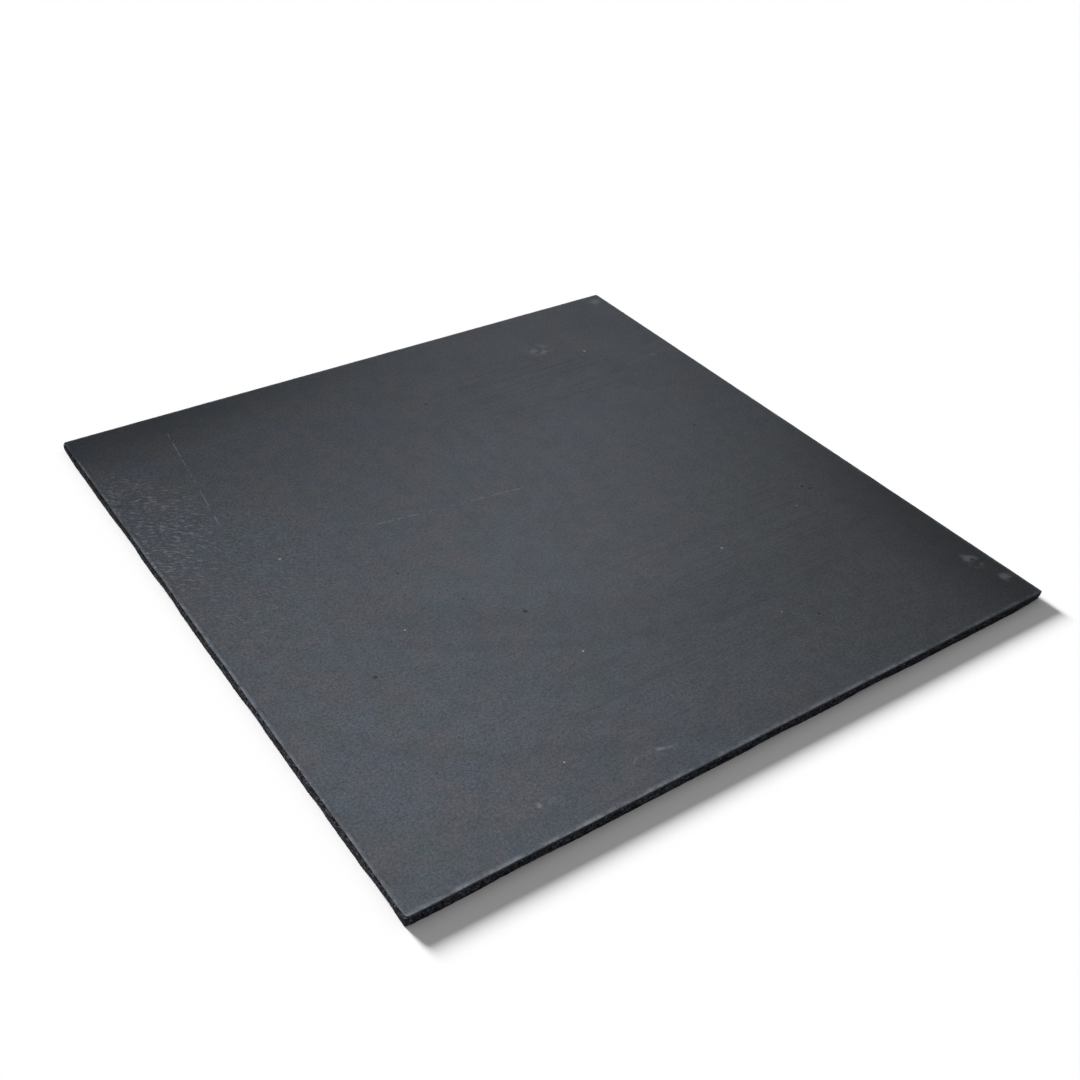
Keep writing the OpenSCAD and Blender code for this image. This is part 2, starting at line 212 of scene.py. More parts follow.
# What each kind of mark does to the sheet's colour: its strength and its colour, in the order that they lie
SHEET_MARKS = {
    # Painted shade by the right edge, and a darker band by the back left edge; the gloss is unchanged
    "painted_shade_and_dark": (0.5, (0.010, 0.011, 0.012)),
    "wipes": (0.33, (0.012, 0.013, 0.016)),
    "streaks": (0.21, (0.012, 0.012, 0.015)),
    # Pale dashes: scuffs, with painted glints of the grain
    "scuffs_and_painted_glints": (0.60, (0.135, 0.145, 0.160)),
    "smears": (0.58, (0.13, 0.14, 0.15)),
    "scratches": (0.5, (0.16, 0.17, 0.18)),
    # Pale edges: wear, with a painted highlight along the sheet's rounded edge
    "edge_wear_and_painted_highlight": (0.55, (0.17, 0.19, 0.215)),
    # Painted shade in creases
    "crease_shade": (0.6, (0.012, 0.012, 0.015)),
    "specks": (0.55, (0.30, 0.31, 0.32)),
    # The pits are painted dark, as shade in their dents; the bump makes the dents themselves
    "pits": (0.85, (0.008, 0.008, 0.009)),
    # Faces that tilt away from up, the sheet's sides, are painted dark as shade and are also made rougher as a
    # cut face
    "cut_face_and_side_shade": (0.85, (0.008, 0.008, 0.010)),
}


def patches(tree, where, zones):
    return total(tree, [near_ellipse(tree, where, *zone) for zone in zones])


def spots(tree, where, places):
    return total(tree, [near_point(tree, where, *place) for place in places])


def lines(tree, where, rows):
    return total(tree, [
        maths(tree, "MULTIPLY", near_line(tree, where, start, end, width), strength)
        for start, end, width, strength in rows
    ])


def sheet_pattern(tree):
    """The masks that the top sheet's colour, gloss and relief share, by the name of the mark."""
    where = place_mm(tree)
    broken = fade(tree, cloud(tree, where, 7, 2), 0.42, 0.62)
    drawn_along_x = place_mm(tree, (0.022, 1, 1))
    streaks = fade(tree, cloud(tree, drawn_along_x, 2.2, 3, 0.7), 0.44, 0.70)

    # Short pale dashes that run from back left to front right: scuffs, with painted glints of the pebble grain
    turned = node(tree, "VectorRotate", {"Vector": where, "Angle": math.radians(35)}, rotation_type="Z_AXIS")
    dashes = vectors(tree, "MULTIPLY", turned.outputs["Vector"], (0.4, 1, 1))
    scuffs_and_painted_glints = fade(tree, cloud(tree, dashes, 1.7, 3, 0.65), 0.52, 0.66)
    lightly = maths(tree, "MULTIPLY", near_ellipse(tree, where, *FAINT_SCUFF_AND_PAINTED_GLINT_PATCH), 0.35)
    scuff_and_glint_zone = total(tree, [near_ellipse(tree, where, *SCUFF_AND_PAINTED_GLINT_PATCH), lightly])

    arcs = total(tree, [
        maths(tree, "MULTIPLY", near_arc(tree, where, x, y, radius, width), strength)
        for x, y, radius, width, strength in WIPES
    ])
    crescents = [
        maths(tree, "MULTIPLY", near_arc(tree, where, x, y, radius, width), near_ellipse(tree, where, *zone))
        for x, y, radius, width, zone in CRESCENTS
    ]
    smears = total(tree, [near_ellipse(tree, where, *zone) for zone in SMEARS] + crescents)
    facing_up = node(tree, "SeparateXYZ", {"Vector": node(tree, "NewGeometry").outputs["Normal"]}).outputs["Z"]
    return {
        # Painted shade wedge by the right edge, and darker towards the back left edge
        "painted_shade_and_dark": patches(tree, where, PAINTED_SHADE_AND_DARK_PATCHES),
        "wipes": maths(tree, "MULTIPLY", arcs, near_ellipse(tree, where, *WIPED_PATCH)),
        "streaks": maths(tree, "MULTIPLY", streaks, patches(tree, where, STREAK_PATCHES)),
        "scuffs_and_painted_glints": maths(tree, "MULTIPLY", scuffs_and_painted_glints, scuff_and_glint_zone),
        "smears": maths(tree, "MULTIPLY", broken, smears),
        "scratches": maths(tree, "MULTIPLY", broken, lines(tree, where, SCRATCHES)),
        "edge_wear_and_painted_highlight": edge_wear_and_painted_highlight(tree, where),
        "crease_shade": maths(tree, "MULTIPLY", broken, lines(tree, where, CREASE_SHADE_LINES)),
        "specks": spots(tree, where, SPECKS),
        "pits": spots(tree, where, PITS),
        # 1 on the sheet's sides, where shade is painted, and 0 on its top
        "cut_face_and_side_shade": fade(tree, facing_up, 0.85, 0.45),
    }


def edge_wear_and_painted_highlight(tree, where):
    """Broken wear along the sheet's edges with a painted highlight on their rounding, strongest within a few
    millimetres of them.
    """
    size = vectors(tree, "ABSOLUTE", where)
    inward = vectors(tree, "SUBTRACT", (HALF_W / MM, HALF_L / MM, 0), size)
    parts = node(tree, "SeparateXYZ", {"Vector": inward})
    distance = maths(tree, "MINIMUM", parts.outputs["X"], parts.outputs["Y"])
    worn = fade(tree, cloud(tree, where, 14, 5, 0.8), 0.36, 0.70)
    return maths(tree, "MULTIPLY", fade(tree, distance, 4.0, 0.8), worn)


def cover_rubber():
    """Smooth slate-black rubber with a fine pebble grain, blue and brown mottling, wipe marks, scuffs with
    painted glints, a painted shade patch and painted edge highlights.
    """
    material, tree, shader = new_material("cover_rubber")
    where = place_mm(tree)
    marks = sheet_pattern(tree)
    cool, warm, green = (0.0282, 0.0347, 0.0482), (0.0390, 0.0342, 0.0402), (0.0300, 0.0385, 0.0420)
    neutral, pale, dark = (0.0345, 0.0350, 0.0385), (0.056, 0.062, 0.070), (0.012, 0.012, 0.015)

    # Tints first, then pale grain, dark grain and soft dark mottling, and the marks on top, painted shade and
    # painted highlights among them
    tone = blend_colours(tree, fade(tree, cloud(tree, where, 34, 5, 0.65), 0.38, 0.62), cool, warm)
    tone = blend_colours(tree, fade(tree, cloud(tree, where, 22, 4, 0.65), 0.50, 0.68), tone, green)
    tone = blend_colours(tree, near_ellipse(tree, where, 235, -160, 330, 300), tone, neutral)
    tone = blend_colours(tree, fade(tree, cloud(tree, where, 1.6, 3, 0.75), 0.36, 0.66), tone, pale)
    tone = blend_colours(tree, fade(tree, cloud(tree, where, 2.6, 3, 0.7), 0.50, 0.70, 0, 0.4), tone, dark)
    tone = blend_colours(tree, fade(tree, cloud(tree, where, 11, 4, 0.6), 0.42, 0.60, 0, 0.13), tone, dark)
    for mark, (strength, colour) in SHEET_MARKS.items():
        tone = blend_colours(tree, maths(tree, "MULTIPLY", marks[mark], strength), tone, colour)
    tree.links.new(tone, shader.inputs["Base Color"])

    gloss = fade(tree, cloud(tree, where, 40, 5, 0.7), 0.3, 0.7, 0.53, 0.575)
    for mark, duller in (("cut_face_and_side_shade", 0.35), ("wipes", 0.10), ("streaks", 0.06)):
        gloss = maths(tree, "ADD", gloss, maths(tree, "MULTIPLY", marks[mark], duller))
    tree.links.new(gloss, shader.inputs["Roughness"])
    shader.inputs["Specular IOR Level"].default_value = 0.5
    shader.inputs["Specular Tint"].default_value = (0.83, 0.92, 1.0, 1)

    pebbles = node(tree, "TexVoronoi", {"Vector": where, "Scale": 1 / 1.9}, feature="SMOOTH_F1")
    relief = bump(tree, pebbles.outputs["Distance"], 0.10 * MM, 0.5)
    relief = bump(tree, cloud(tree, where, 0.9, 3, 0.6), 0.04 * MM, 0.6, relief)
    relief = bump(tree, marks["streaks"], 0.02 * MM, 0.5, relief)
    relief = bump(tree, marks["scuffs_and_painted_glints"], 0.07 * MM, 0.7, relief)
    relief = bump(tree, maths(tree, "SUBTRACT", 1.0, marks["pits"]), 0.25 * MM, 1.0, relief)
    tree.links.new(relief, shader.inputs["Normal"])
    return material


def crumb_rubber():
    """Bonded rubber crumb: matt black granules with painted shade in the gaps between them and a few paler
    flecks.
    """
    material, tree, shader = new_material("crumb_rubber")
    where = place_mm(tree)
    shift = node(tree, "TexNoise", {"Vector": where, "Scale": 0.9}).outputs["Color"]
    wobble = vectors(tree, "ADD", where, shift)
    crumbs = node(tree, "TexVoronoi", {"Vector": wobble, "Scale": 1 / 1.3})
    shade = node(tree, "SeparateColor", {"Color": crumbs.outputs["Color"]})
    black, grey = (0.0035, 0.0035, 0.0042), (0.028, 0.028, 0.034)
    fleck, gap_shade = (0.051, 0.053, 0.066), (0.002, 0.002, 0.002)
    tone = blend_colours(tree, shade.outputs["Red"], black, grey)
    tone = blend_colours(tree, fade(tree, shade.outputs["Green"], 0.76, 0.92), tone, fleck)
    # Painted shade in the gaps between granules
    tone = blend_colours(tree, fade(tree, crumbs.outputs["Distance"], 0.45, 0.85, 0, 0.85), tone, gap_shade)
    tree.links.new(tone, shader.inputs["Base Color"])
    tree.links.new(fade(tree, shade.outputs["Blue"], 0, 1, 0.72, 0.95), shader.inputs["Roughness"])
    shader.inputs["Specular IOR Level"].default_value = 0.05
    relief = bump(tree, maths(tree, "SUBTRACT", 1.0, crumbs.outputs["Distance"]), 0.45 * MM, 1.0)
    relief = bump(tree, cloud(tree, where, 0.4, 3, 0.7), 0.08 * MM, 0.7, relief)
    tree.links.new(relief, shader.inputs["Normal"])
    return material


def moulded(name, colour, gloss, grain_mm, relief_mm, variation, metallic=0.0, stretch=(1, 1, 1)):
    """A moulded, drawn or rolled finish: patchy tone and gloss over a fine grain that stretch can draw out."""
    material, tree, shader = new_material(name)
    where = place_mm(tree, stretch)
    patchy = cloud(tree, where, grain_mm * 6, 4, 0.6)
    dark = tuple(c * (1 - variation) for c in colour)
    pale = tuple(min(1, c * 1.35 + 0.01) for c in colour)
    tone = blend_colours(tree, fade(tree, patchy, 0.3, 0.7), dark, colour)
    speckle = cloud(tree, where, grain_mm * 0.7, 3, 0.7)
    tone = blend_colours(tree, fade(tree, speckle, 0.55, 0.8, 0, 0.35), tone, pale)
    tree.links.new(tone, shader.inputs["Base Color"])
    tree.links.new(fade(tree, patchy, 0.3, 0.7, *gloss), shader.inputs["Roughness"])
    shader.inputs["Metallic"].default_value = metallic
    tree.links.new(bump(tree, speckle, relief_mm * MM, 0.7), shader.inputs["Normal"])
    return material


def woven(name, colour, pitch_mm, relief_mm):
    """A plain weave: threads along X pass over and under threads along Y."""
    material, tree, shader = new_material(name)
    where = place_mm(tree)
    # The wave texture repeats every pi / 10 at a scale of 1
    thread = {"Vector": where, "Scale": math.pi / 10 / pitch_mm, "Distortion": 0.2}
    waves = [node(tree, "TexWave", thread, wave_type="BANDS", bands_direction=axis) for axis in "XY"]
    weave = maths(tree, "MULTIPLY", *[made.outputs["Fac"] for made in waves])
    fuzz = cloud(tree, where, pitch_mm * 0.3, 3, 0.7)
    dark = tuple(c * 0.6 for c in colour)
    pale = tuple(min(1, c * 1.1) for c in colour)
    # The weave's low places, between and under threads, are painted darker as shade
    tone = blend_colours(tree, fade(tree, weave, 0.0, 0.6), dark, colour)
    tone = blend_colours(tree, fade(tree, fuzz, 0.5, 0.8, 0, 0.3), tone, pale)
    tree.links.new(tone, shader.inputs["Base Color"])
    tree.links.new(fade(tree, fuzz, 0.3, 0.7, 0.7, 0.9), shader.inputs["Roughness"])
    tree.links.new(bump(tree, weave, relief_mm * MM, 0.8), shader.inputs["Normal"])
    return material


# Colour, range of roughness, grain and relief in millimetres, variation, how metallic, and the grain's stretch
MOULDED = {
    "seal_film": ((0.030, 0.030, 0.033), (0.5, 0.7), 1.2, 0.04, 0.4),
    "foil": ((0.80, 0.81, 0.83), (0.18, 0.34), 1.5, 0.03, 0.12, 1.0, (0.2, 1, 1)),
    "silicone": ((0.42, 0.06, 0.04), (0.38, 0.55), 0.8, 0.02, 0.25),
    "resistance_alloy": ((0.34, 0.33, 0.34), (0.3, 0.5), 0.3, 0.01, 0.3, 1.0),
    "gland_rubber": ((0.016, 0.016, 0.018), (0.45, 0.62), 0.5, 0.03, 0.4),
    "junction_plastic": ((0.045, 0.046, 0.050), (0.5, 0.65), 0.6, 0.03, 0.2),
    "tinned_metal": ((0.72, 0.73, 0.74), (0.25, 0.42), 0.4, 0.015, 0.15, 1.0),
    "sleeve_plastic": ((0.02, 0.02, 0.022), (0.3, 0.45), 0.6, 0.02, 0.3),
    "blue_insulation": ((0.02, 0.07, 0.30), (0.25, 0.4), 0.5, 0.01, 0.2),
    "brown_insulation": ((0.11, 0.035, 0.012), (0.25, 0.4), 0.5, 0.01, 0.2),
    "copper_wire": ((0.80, 0.40, 0.22), (0.2, 0.35), 0.2, 0.01, 0.2, 1.0),
    "case_metal": ((0.62, 0.62, 0.64), (0.25, 0.45), 0.4, 0.015, 0.15, 1.0, (0.15, 1, 1)),
    "resin": ((0.12, 0.03, 0.012), (0.55, 0.7), 0.4, 0.03, 0.3),
    "terminal_brass": ((0.78, 0.56, 0.23), (0.2, 0.4), 0.3, 0.01, 0.2, 1.0, (0.2, 1, 1)),
    "contact_metal": ((0.88, 0.87, 0.84), (0.15, 0.3), 0.2, 0.01, 0.1, 1.0),
    "bimetal": ((0.64, 0.56, 0.45), (0.22, 0.4), 0.3, 0.01, 0.2, 1.0, (0.15, 1, 1)),
}
# Colour, pitch and relief in millimetres
WOVEN = {
    "scrim": ((0.83, 0.82, 0.76), 3.0, 0.08),
    "thread": ((0.88, 0.87, 0.83), 0.25, 0.03),
}


def make_materials():
    """The finish for each of the record's material slots."""
    finishes = {"cover_rubber": cover_rubber(), "crumb_rubber": crumb_rubber()}
    finishes.update({slot: moulded(slot, *look) for slot, look in MOULDED.items()})
    finishes.update({slot: woven(slot, *look) for slot, look in WOVEN.items()})
    return finishes


# ---------------------------------------------------------------- mesh helpers

def add_object(name, data):
    made = bpy.data.objects.new(name, data)
    bpy.context.collection.objects.link(made)
    return made


def mesh_from(made, name):
    """A mesh with what a bmesh holds. The bmesh is freed."""
    data = bpy.data.meshes.new(name)
    made.to_mesh(data)
    made.free()
    return data


def add_mesh(name, points, faces, material, smooth=True):
    data = bpy.data.meshes.new(name)
    data.from_pydata(points, [], faces)
    made = bmesh.new()
    made.from_mesh(data)
    bmesh.ops.remove_doubles(made, verts=made.verts, dist=1e-7)
    bmesh.ops.dissolve_degenerate(made, edges=made.edges, dist=1e-8)
    made.to_mesh(data)
    made.free()
    data.materials.append(material)
    data.polygons.foreach_set("use_smooth", [smooth] * len(data.polygons))
    return add_object(name, data)


def combine(piece, other, operation):
    """Cuts other out of piece, or joins it on, and removes other."""
    change = piece.modifiers.new(operation, "BOOLEAN")
    change.operation = operation
    change.solver = "EXACT"
    change.object = other
    bpy.context.view_layer.update()
    result = bpy.data.meshes.new_from_object(piece.evaluated_get(bpy.context.evaluated_depsgraph_get()))
    piece.modifiers.remove(change)
    piece.data = result
    bpy.data.objects.remove(other)


def wave(x, y, size_mm, seed):
    """Smooth noise from -1 to 1 with features of about size_mm."""
    return noise.noise(Vector((x / MM / size_mm, y / MM / size_mm, seed)))


class Column:
    """A vertical line on the rim: its place on the outline, and the point that it leads to further in."""

    def __init__(self, edge, inner, side, step):
        self.edge, self.inner, self.side, self.step = edge, inner, side, step

    def at(self, inset, z):
        place = self.edge.lerp(self.inner, inset / RIM_W)
        return (place.x, place.y, z)


def rim_columns(spacing, corner_steps):
    """Columns anticlockwise round the mat from the front left corner, and how many steps each side has."""
    inner = Vector((HALF_W - RIM_W, HALF_L - RIM_W))
    # Each corner: its signs in X and Y, and the direction that the side before it faces, in degrees
    corners = [(1, -1, -90), (1, 1, 0), (-1, 1, 90), (-1, -1, 180)]
    columns, counts = [], []
    for side, (sx, sy, turn) in enumerate(corners):
        px, py, _ = corners[side - 1]
        out = Vector((math.cos(math.radians(turn)), math.sin(math.radians(turn))))
        from_r, to_r = CORNER_RADII[side - 1], CORNER_RADII[side]
        a = Vector((px * (HALF_W - from_r), py * (HALF_L - from_r))) + out * from_r
        centre = Vector((sx * (HALF_W - to_r), sy * (HALF_L - to_r)))
        b = centre + out * to_r
        inner_a, inner_b = Vector((px * inner.x, py * inner.y)), Vector((sx * inner.x, sy * inner.y))
        count = RIM_COLUMNS_PER_CELL * round((b - a).length / spacing / RIM_COLUMNS_PER_CELL)
        counts.append(count)
        for step in range(count):
            columns.append(Column(a.lerp(b, step / count), inner_a.lerp(inner_b, step / count), side, step))
        for step in range(corner_steps):
            angle = math.radians(turn + 90 * step / corner_steps)
            edge = centre + Vector((math.cos(angle), math.sin(angle))) * to_r
            columns.append(Column(edge, inner_b, side, count + step))
    return columns, counts


def rows_to_faces(row_count, columns, closed=False):
    """Quads between rows of points. A row runs anticlockwise, and rows go up the outside and then inwards."""
    faces = []
    for row in range(row_count if closed else row_count - 1):
        low, high = row * columns, (row + 1) % row_count * columns
        for i in range(columns):
            after = (i + 1) % columns
            faces.append((low + i, low + after, high + after, high + i))
    return faces


def gland_cutter():
    """A round bar that fills the seat of the cord gland and stands out past the rear edge."""
    centre = (GLAND_LOW + GLAND_HIGH) / 2
    radius = (GLAND_HIGH.x - GLAND_LOW.x) / 2 + SEAT_GAP
    length = (GLAND_HIGH.y - GLAND_LOW.y) * 1.5
    made = bmesh.new()
    bmesh.ops.create_cone(made, cap_ends=True, segments=64, radius1=radius, radius2=radius, depth=length)
    place = Matrix.Translation((centre.x, GLAND_LOW.y + length / 2, centre.z))
    made.transform(place @ Matrix.Rotation(math.pi / 2, 4, "X"))
    return add_object("gland_cutter", mesh_from(made, "gland_cutter"))


# ---------------------------------------------------------------- rubber pieces

# The top sheet's cut edge in mm. Each row, from the bottom: how far in, and how far down from the top
SHEET_PROFILE = [(0.55, 2.0), (0.22, 1.8), (0.06, 1.45), (0.0, 1.1), (0.05, 0.75), (0.2, 0.42), (0.45, 0.19),
                 (0.8, 0.06), (1.3, 0.01), (2.2, 0.0), (4.5, 0.0), (8.0, 0.0)]
LIP_ROWS = range(0, 2)
NICK_ROWS = range(3, 6)
# How far in the cut's unevenness reaches, in mm
CUT_REACH = 3
# On the left: how much narrower the sheet is, how far below its top the undercut starts, in mm, and its slope
LEFT_CUT_SHORT = 0.45
UNDERCUT_FROM = 0.3
UNDERCUT_SLOPE = 0.6


def left_ledge(x):
    """1 along the left edge, where the sheet was cut short and the pad shows as a ledge, and 0 elsewhere."""
    return max(0, min(1, (-x - HALF_W + 3 * MM) / (2.4 * MM)))


def sheet_height(x, y):
    """The top of the rubber sheet, which is never quite flat."""
    dip = 0.055 * (1 + wave(x, y, 70, 1)) + 0.02 * (1 + wave(x, y, 14, 2))
    return SHEET_HIGH.z - dip * MM


def sheet_edge_point(column, row):
    """A point of the sheet's cut edge, with the ragged line, lips and nicks that a knife leaves."""
    inset, drop = SHEET_PROFILE[row]
    x, y = column.edge
    ragged = 0.3 + 0.16 * wave(x, y, 22, 3) + 0.10 * wave(x, y, 6, 4)
    lip = 0.35 * max(0, wave(x, y, 9, 5)) if row in LIP_ROWS else 0
    nick = 0.5 * max(0, wave(x, y, 3.5, 6) - 0.35) if row in NICK_ROWS else 0
    cut_short = left_ledge(x) * (LEFT_CUT_SHORT + 0.25 * wave(x, y, 30, 12))
    undercut = left_ledge(x) * UNDERCUT_SLOPE * max(0, drop - UNDERCUT_FROM)
    reach = inset + (ragged + lip + cut_short) * max(0, 1 - inset / CUT_REACH) + undercut
    top = SHEET_HIGH.z if row == 0 else sheet_height(*column.at(reach * MM, 0)[:2])
    return column.at(reach * MM, top - (drop + nick) * MM)


def make_top_sheet(material):
    """The smooth top sheet, with a softened, slightly ragged edge where it was cut."""
    corner_steps = 6
    columns, counts = rim_columns(1.0 * MM, corner_steps)
    points = [sheet_edge_point(column, row) for row in range(len(SHEET_PROFILE)) for column in columns]
    faces = rows_to_faces(len(SHEET_PROFILE), len(columns))
    faces.append(tuple(reversed(range(len(columns)))))

    # Inside the rim, a plain grid
    nx, ny = counts[0] // RIM_COLUMNS_PER_CELL, counts[1] // RIM_COLUMNS_PER_CELL
    grid = len(points)
    inner_w, inner_l = HALF_W - RIM_W, HALF_L - RIM_W
    for j in range(ny + 1):
        for i in range(nx + 1):
            x, y = inner_w * (2 * i / nx - 1), inner_l * (2 * j / ny - 1)
            points.append((x, y, sheet_height(x, y)))

    def cell(i, j):
        return grid + j * (nx + 1) + i

    faces += [
        (cell(i, j), cell(i + 1, j), cell(i + 1, j + 1), cell(i, j + 1)) for j in range(ny) for i in range(nx)
    ]

    # Between rim and grid: a strip along each side, and a fan at each corner
    borders = [
        [cell(i, 0) for i in range(nx + 1)], [cell(nx, j) for j in range(ny + 1)],
        [cell(nx - i, ny) for i in range(nx + 1)], [cell(0, ny - j) for j in range(ny + 1)],
    ]
    last_row = (len(SHEET_PROFILE) - 1) * len(columns)
    start = 0
    for count, border in zip(counts, borders):
        for m in range(len(border) - 1):
            first = last_row + start + RIM_COLUMNS_PER_CELL * m
            faces.append((*range(first, first + RIM_COLUMNS_PER_CELL + 1), border[m + 1], border[m]))
        start += count
        corner = [last_row + (start + k) % len(columns) for k in range(corner_steps + 1)]
        faces += [(corner[k], corner[k + 1], border[-1]) for k in range(corner_steps)]
        start += corner_steps
    piece = add_mesh("rubber_top_sheet", points, faces, material)
    combine(piece, gland_cutter(), "DIFFERENCE")
    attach(piece, BODY)
    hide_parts("top_sheet")


def make_seal_film(material):
    """The bond line between sheet and pad, set back a little from both, with a window for the heated field."""
    columns, counts = rim_columns(1.5 * MM, 4)
    low, high = PAD_TOP, SHEET_LOW.z
    left, right, front, back = FIELD_LOW.x, FIELD_HIGH.x, FIELD_LOW.y, FIELD_HIGH.y
    # The window's corners, each by the side of the mat that ends there
    window = [Vector((right, front)), Vector((right, back)), Vector((left, back)), Vector((left, front))]
    points = []
    for z, inside in ((low, True), (low, False), (high, False), (high, True)):
        for c in columns:
            if inside:
                share = min(1, c.step / counts[c.side])
                x, y = window[c.side - 1].lerp(window[c.side], share)
                points.append((x + math.copysign(SEAT_GAP, x), y + math.copysign(SEAT_GAP, y), z))
            else:
                x, y = c.edge
                set_back = 0.75 + 1.3 * left_ledge(x) + 0.3 * wave(x, y, 12, 7)
                points.append(c.at(set_back * MM, z))
    piece = add_mesh("bond_line", points, rows_to_faces(4, len(columns), closed=True), material, smooth=False)
    combine(piece, gland_cutter(), "DIFFERENCE")
    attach(piece, BODY)
    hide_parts("seal_film")


def crumb(x, y, z):
    """How far the granules at a place stand in from the cut face, in millimetres."""
    place = Vector((x, y, z)) / MM / 1.7
    distances, _ = noise.voronoi(place)
    return 0.34 * min(1, distances[0]) + 0.16 * max(0, noise.noise(place * 0.45))


def wall_point(column, height):
    """A point of the pad's cut face, from its foot at height 0 to its top at 1."""
    x, y = column.edge
    bow = 0.22 + 0.25 * wave(x, y, 55, 8) + 0.12 * wave(x, y, 16, 9)
    foot = max(0, 0.25 + 1.5 * wave(x, y, 48, 10) + 0.35 * wave(x, y, 10, 11))
    # The foot of the front right corner is worn away
    torn = 0.8 * math.exp(-math.hypot(x - HALF_W, y + HALF_L) / (9 * MM))
    z = PAD_TOP * height
    lift = foot * MM * (1 - height) ** 3
    inset = bow + crumb(x, y, z) + (0.5 * foot + torn) * (1 - height) ** 2
    return column.at(inset * MM, z + lift)


def make_base_pad(material):
    """The crumb-rubber pad: a granular rim with a slightly wavy foot, joined to the pad's grooved middle."""
    columns, _ = rim_columns(0.62 * MM, 8)
    wall_rows = 11
    rim = RIM_W / MM
    rows = [[c.at(inset * MM, 0) for c in columns] for inset in (rim, 5, 2.2)]
    rows += [[wall_point(c, row / (wall_rows - 1)) for c in columns] for row in range(wall_rows)]
    rows += [[c.at(inset * MM, PAD_TOP) for c in columns] for inset in (1.4, 3, rim)]
    points = [point for row in rows for point in row]
    piece = add_mesh("crumb_rubber_pad", points, rows_to_faces(len(rows), len(columns), closed=True), material)
    combine(piece, gland_cutter(), "DIFFERENCE")
    combine(piece, pad_middle(material), "UNION")
    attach(piece, BODY)
    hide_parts("base_pad")


def pad_middle(material):
    """The part of the CAD pad inside the rim, with the cable grooves and the pocket for the junction tray."""
    made = bmesh.new()
    made.from_mesh(frame["nodes"]["base_pad"].data)
    bmesh.ops.remove_doubles(made, verts=made.verts, dist=1e-6)
    overlap = 0.4 * MM
    for axis, reach in ((0, HALF_W - RIM_W + overlap), (1, HALF_L - RIM_W + overlap)):
        for way in (-1, 1):
            out = Vector((0, 0, 0))
            out[axis] = way
            everything = made.verts[:] + made.edges[:] + made.faces[:]
            bmesh.ops.bisect_plane(made, geom=everything, plane_co=out * reach, plane_no=out, clear_outer=True)
            bmesh.ops.holes_fill(made, edges=[e for e in made.edges if e.is_boundary], sides=0)
    bmesh.ops.recalc_face_normals(made, faces=made.faces)
    data = mesh_from(made, "pad_middle")
    data.materials.append(material)
    return add_object("pad_middle", data)


def make_scrim(material):
    """The glass-fibre cloth that carries the cable: one sheet with the relief of a plain weave."""
    thread_gap = 3 * MM
    thickness, relief = 0.22 * MM, 0.12 * MM
    width, length = SCRIM_HIGH.x - SCRIM_LOW.x, SCRIM_HIGH.y - SCRIM_LOW.y
    nx, ny = round(width / thread_gap), round(length / thread_gap)
    middle = (SCRIM_LOW.z + SCRIM_HIGH.z) / 2
    points = []
    for j in range(ny + 1):
        for i in range(nx + 1):
            # 1 where the upper thread crosses over, and -1 where it passes under
            over = math.sin(math.pi * (i + 0.5) / 2) * math.sin(math.pi * (j + 0.5) / 2) * 2
            x, y = SCRIM_LOW.x + width * i / nx, SCRIM_LOW.y + length * j / ny
            points.append((x, y, middle + thickness / 2 + relief * over))
    faces = [
        (j * (nx + 1) + i, j * (nx + 1) + i + 1, (j + 1) * (nx + 1) + i + 1, (j + 1) * (nx + 1) + i)
        for j in range(ny) for i in range(nx)
    ]
    piece = add_mesh("glass_scrim", points, faces, material)
    thick = piece.modifiers.new("thickness", "SOLIDIFY")
    thick.thickness = thickness
    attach(piece, BODY)
    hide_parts("heater_scrim")


# ---------------------------------------------------------------- camera, light and floor

def place_camera():
    """The camera stands off the front left corner and looks down at the mat, tipped a little clockwise."""
    azimuth, elevation, roll = math.radians(-36.576), math.radians(36.833), math.radians(3.263)
    flat = Vector((-math.sin(azimuth), math.cos(azimuth), 0))
    look = flat * math.cos(elevation) - Vector((0, 0, math.sin(elevation)))
    level = look.cross(Vector((0, 0, 1))).normalized()
    above = level.cross(look)
    right = math.cos(roll) * level + math.sin(roll) * above
    up = math.cos(roll) * above - math.sin(roll) * level
    data = bpy.data.cameras.new("camera")
    data.sensor_width = 36
    data.lens = 44.25
    data.clip_start = 0.01
    camera = add_object("camera", data)
    camera.rotation_mode = "QUATERNION"
    camera.rotation_quaternion = Matrix((right, up, -look)).transposed().to_quaternion()
    camera.location = (-0.45988, -0.63482, 0.57140)
    bpy.context.scene.camera = camera


def softbox(name, place, target, power, colour, floor):
    """A square softbox that lights everything but the floor."""
    data = bpy.data.lights.new(name, "AREA")
    data.shape = "RECTANGLE"
    data.size = data.size_y = 0.4
    data.energy = power
    data.color = colour
    light = add_object(name, data)
    light.location = place
    light.rotation_mode = "QUATERNION"
    light.rotation_quaternion = (Vector(target) - Vector(place)).to_track_quat("-Z", "Y")
    link_floor(light, floor, "EXCLUDE")
    return light


def link_floor(light, floor, state):
    """Lets a light fall on the floor alone ("INCLUDE"), or on everything else ("EXCLUDE")."""
    group = bpy.data.collections.new(light.name + "_floor")
    group.objects.link(floor)
    group.collection_objects[0].light_linking.link_state = state
    light.light_linking.receiver_collection = group


def floor_sun(name, towards, energy, spread, floor):
    """A sun that lights the floor alone, spread degrees across."""
    data = bpy.data.lights.new(name, "SUN")
    data.energy = energy
    data.angle = math.radians(spread)
    sun = add_object(name, data)
    sun.rotation_mode = "QUATERNION"
    sun.rotation_quaternion = towards.to_track_quat("-Z", "Y")
    link_floor(sun, floor, "INCLUDE")


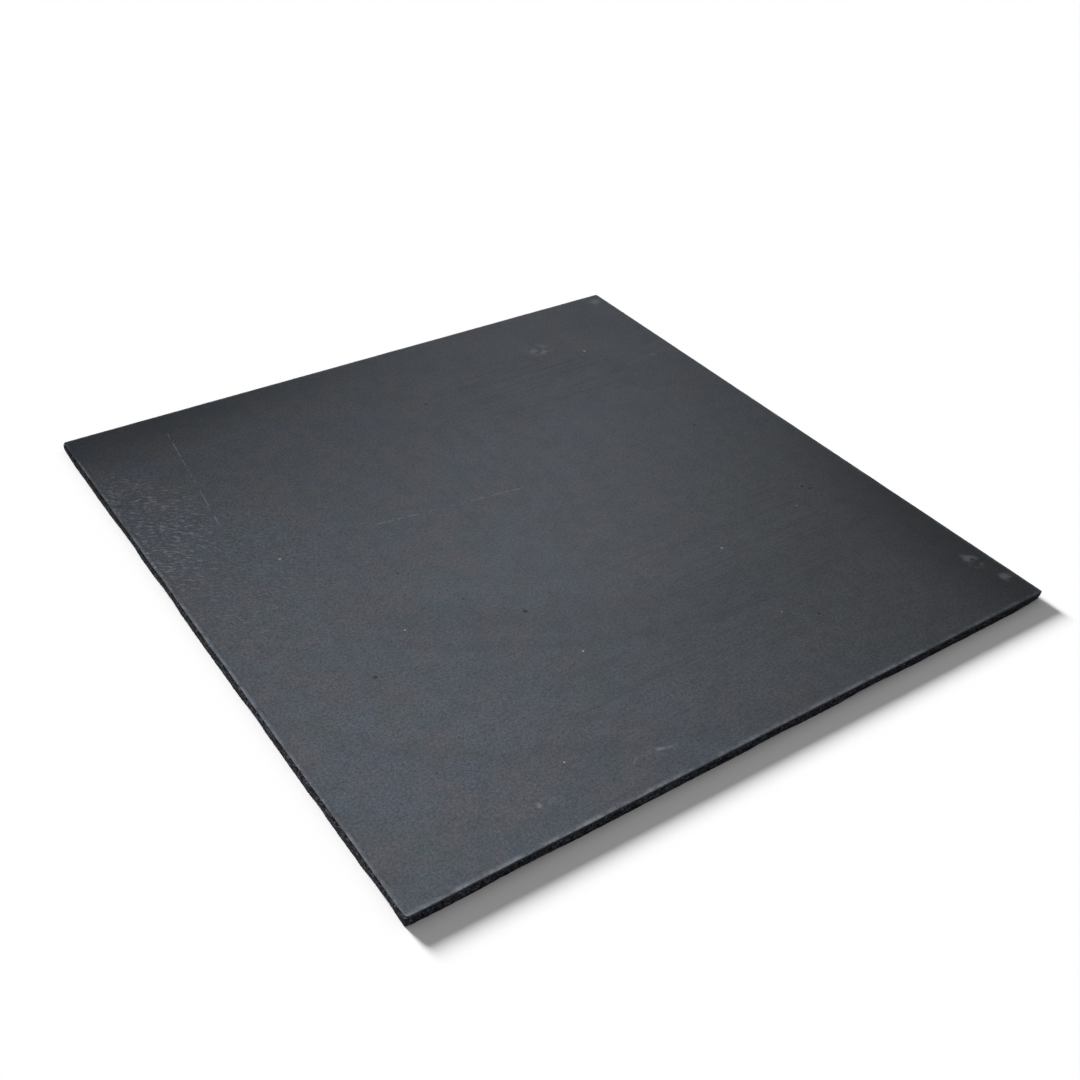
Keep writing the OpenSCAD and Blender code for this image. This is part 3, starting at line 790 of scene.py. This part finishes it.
def light_studio(floor):
    """Two softboxes light the mat, two suns light the floor, and the room is dim above its pale walls."""
    world = bpy.data.worlds.new("studio")
    world.use_nodes = True
    tree = world.node_tree
    background = tree.nodes["Background"]
    background.inputs["Color"].default_value = (1, 1, 1, 1)
    # The sine of the angle above the horizon
    height = node(tree, "SeparateXYZ", {"Vector": node(tree, "TexCoord").outputs["Generated"]}).outputs["Z"]
    tree.links.new(fade(tree, height, 0.10, 0.20, 0.85, 0.06), background.inputs["Strength"])
    bpy.context.scene.world = world

    near = softbox("left_softbox", (-0.48, -0.3, 0.7), (-0.05, -0.05, 0), 2.9, (0.992, 0.993, 0.98), floor)
    near.data.spread = math.radians(80)
    softbox("back_softbox", (0.7, 0.9, 0.7), (0, 0, 0), 1.5, (0.965, 1.0, 1.06), floor)

    # From above for an even pale grey, and from low behind the mat for white with a shadow towards the camera
    floor_sun("floor_fill", Vector((0, 0, -1)), 0.74, 115, floor)
    low = math.radians(20.5)
    towards = Vector((0.13, -0.99, 0)).normalized() * math.cos(low) - Vector((0, 0, math.sin(low)))
    floor_sun("floor_key", towards, 8.45, 13, floor)


def lay_floor():
    material, _, shader = new_material("studio_floor")
    shader.inputs["Base Color"].default_value = (0.8, 0.8, 0.8, 1)
    shader.inputs["Roughness"].default_value = 0.9
    shader.inputs["Specular IOR Level"].default_value = 0.0
    reach = 6
    below = 0.05 * MM
    corners = [(x * reach, y * reach, -below) for x, y in ((-1, -1), (1, -1), (1, 1), (-1, 1))]
    floor = add_mesh("floor", corners, [(0, 1, 2, 3)], material)
    return floor


# ---------------------------------------------------------------- the scene

def dress_frame(materials):
    """Gives every CAD node the finish that the record names for it."""
    for subpart in frame["record"]["subparts"]:
        piece = frame["nodes"][subpart["node"]]
        piece.data.materials.clear()
        piece.data.materials.append(materials[subpart["material_slot"]])


bpy.context.scene.view_settings.view_transform = "Standard"
place_camera()
light_studio(lay_floor())
finishes = make_materials()
dress_frame(finishes)
make_top_sheet(finishes["cover_rubber"])
make_seal_film(finishes["seal_film"])
make_base_pad(finishes["crumb_rubber"])
make_scrim(finishes["scrim"])
